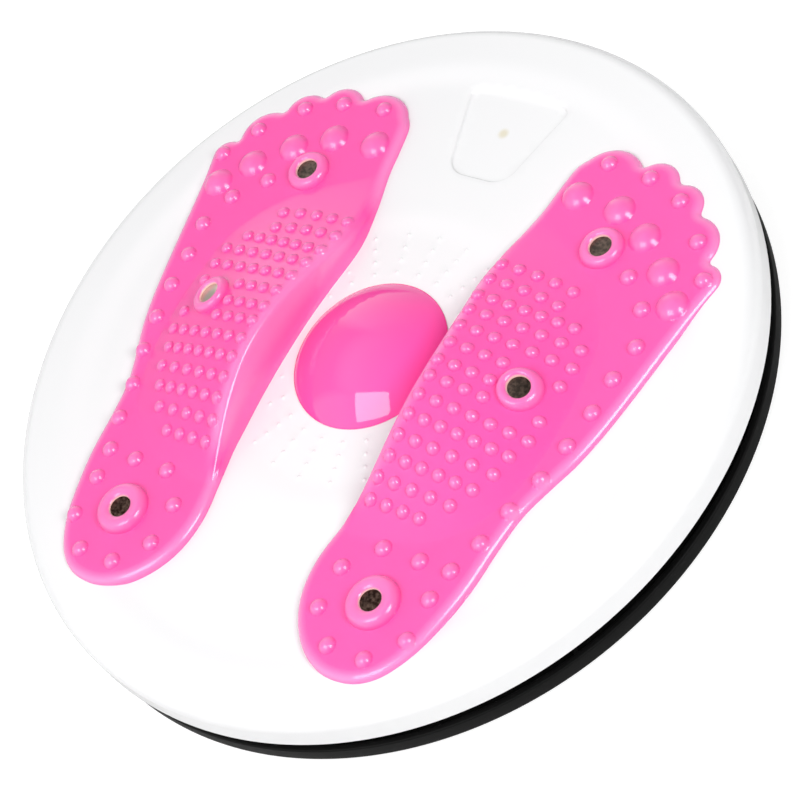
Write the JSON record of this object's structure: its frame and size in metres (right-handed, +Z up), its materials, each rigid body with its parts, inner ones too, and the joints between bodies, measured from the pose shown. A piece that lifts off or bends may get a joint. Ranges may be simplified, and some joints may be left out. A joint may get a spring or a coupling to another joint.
{
  "type": "waist twisting disc",
  "caption": "Round waist twisting disc: a white swivel platform with pink foot-shaped massage pads and a centre dome, on a ball bearing over a black base.",
  "frame": {"origin": "on the floor under the pivot, the centre of the bounding box's bottom face", "axes": "+Z up along the pivot, +Y towards the toes, +X to the right foot's side"},
  "size_m": [0.28, 0.28, 0.0459],
  "materials": {
    "white_shell": "glossy moulded white plastic",
    "pink_pad": "glossy soft moulded pink vinyl",
    "pink_cap": "glossy moulded pink plastic",
    "black_base": "matt moulded black plastic",
    "black_foot": "matt black rubber",
    "race_steel": "zinc-plated pressed steel",
    "ball_steel": "polished steel",
    "fastener_steel": "zinc-plated steel",
    "natural_plastic": "natural unpainted plastic",
    "magnet": "dark sintered ferrite"
  },
  "bodies": {
    "base": {"base_disc": "black_base", "lower_ball_race": "race_steel", "pivot_bolt": "fastener_steel", "head_washer": "fastener_steel", "thrust_washer": "natural_plastic", "nut_washer": "fastener_steel", "lock_nut": "fastener_steel", "rubber_foot_1": "black_foot", "rubber_foot_2": "black_foot", "rubber_foot_3": "black_foot", "rubber_foot_4": "black_foot", "rubber_foot_5": "black_foot", "rubber_foot_6": "black_foot"},
    "cage": {"ball_cage": "natural_plastic", "ball_01": "ball_steel", "ball_02": "ball_steel", "ball_03": "ball_steel", "ball_04": "ball_steel", "ball_05": "ball_steel", "ball_06": "ball_steel", "ball_07": "ball_steel", "ball_08": "ball_steel", "ball_09": "ball_steel", "ball_10": "ball_steel", "ball_11": "ball_steel", "ball_12": "ball_steel"},
    "top": {"top_disc": "white_shell", "right_foot_pad": "pink_pad", "left_foot_pad": "pink_pad", "centre_dome": "pink_cap", "upper_ball_race": "race_steel", "pivot_bush": "natural_plastic", "magnet_right_toe": "magnet", "magnet_right_arch": "magnet", "magnet_right_heel": "magnet", "magnet_left_toe": "magnet", "magnet_left_arch": "magnet", "magnet_left_heel": "magnet"}
  },
  "joints": [
    {"name": "top_turn", "type": "hinge", "parent": "base", "child": "top", "pos_m": [0, 0, 0], "axis": [0, 0, 1], "continuous": true},
    {"name": "cage_turn", "type": "hinge", "parent": "base", "child": "cage", "pos_m": [0, 0, 0], "axis": [0, 0, 1], "continuous": true}
  ],
  "couplings": [
    {"joint": "cage_turn", "follows": "top_turn", "ratio": 0.5}
  ]
}
